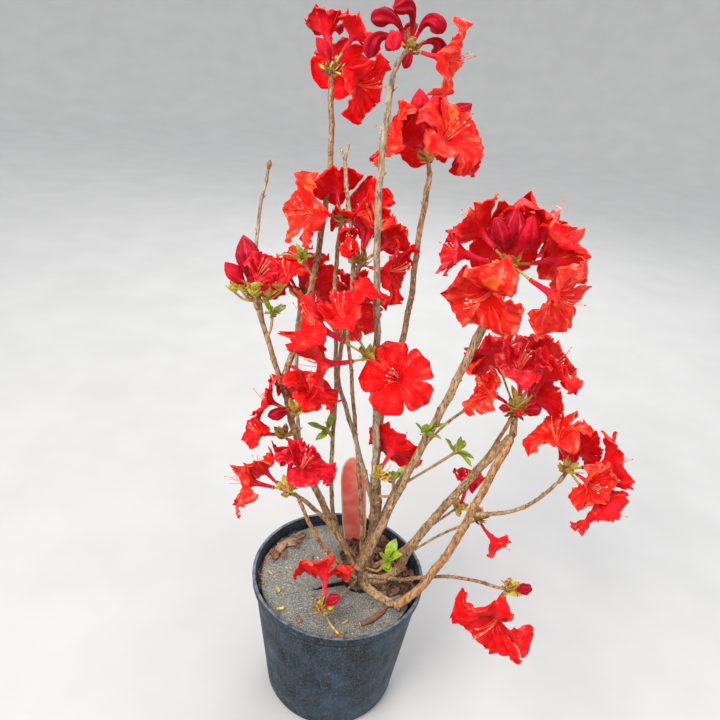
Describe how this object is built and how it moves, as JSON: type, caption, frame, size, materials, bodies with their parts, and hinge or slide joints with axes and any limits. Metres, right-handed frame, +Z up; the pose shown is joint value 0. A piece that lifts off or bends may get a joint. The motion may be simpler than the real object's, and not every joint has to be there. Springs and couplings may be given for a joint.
{
  "type": "potted azalea shrub",
  "caption": "Open, leggy azalea shrub in full scarlet flower before its leaves, with bare arching stems, standing in its round black nursery pot under a felt disc.",
  "frame": {"origin": "middle of the pot's flat underside", "axes": "+Z up, +X to the right and +Y to the back as the picture shows the shrub"},
  "size_m": [0.4642, 0.3531, 0.8702],
  "materials": {
    "pot": "black moulded plastic, fine grain, dusty blue-grey scuffs",
    "filling": "moist peat and bark chips",
    "felt": "speckled grey pressed felt",
    "label": "satin plastic, red with a cream border, no words or picture",
    "wood": "thin tan and grey-brown bark with paler streaks",
    "flowers": "thin soft scarlet petals with darker veins",
    "leaves": "young lime-green leaves, bronze at the tips"
  },
  "bodies": {
    "root": {"pot": "pot", "filling": "filling", "felt_disc": "felt", "plant_label": "label", "crown": "wood", "trunk": "wood", "stem_tall": "wood", "stem_right_upper": "wood", "stem_right_middle": "wood", "stem_front_foot": "wood", "stem_front": "wood", "stem_left": "wood", "stem_left_fork": "wood", "stem_inner": "wood", "stem_left_bare": "wood", "stem_back_thin": "wood", "stem_dead_top": "wood", "stem_back_right": "wood", "stem_middle": "wood", "stem_far_left": "wood", "stem_far_middle": "wood", "stem_far_right": "wood", "stem_far_low": "wood", "twig_left_upper": "wood", "twig_left_lower": "wood", "twig_right": "wood", "twig_right_low": "wood", "flowers_top": "flowers", "flowers_top_left": "flowers", "flowers_right_upper": "flowers", "flowers_right_middle": "flowers", "flowers_centre_left": "flowers", "flowers_centre": "flowers", "flowers_trunk": "flowers", "flowers_back_left": "flowers", "flowers_back_middle": "flowers", "flowers_left": "flowers", "flowers_left_inner": "flowers", "flowers_left_under": "flowers", "flowers_left_low": "flowers", "flowers_front": "flowers", "flowers_right": "flowers", "flowers_right_low": "flowers", "flowers_back_right": "flowers", "flowers_twig_orange": "flowers", "flowers_twig_inner": "flowers", "flowers_twig_outer": "flowers", "flowers_far_left": "flowers", "flowers_far_middle": "flowers", "flowers_far_right": "flowers", "flowers_far_low": "flowers", "leaves_right_stem": "leaves", "leaves_right_twig": "leaves", "leaves_trunk": "leaves", "leaves_crown": "leaves", "leaves_back_stem": "leaves", "leaves_inner_stem": "leaves", "leaves_left_fork": "leaves"}
  },
  "joints": []
}
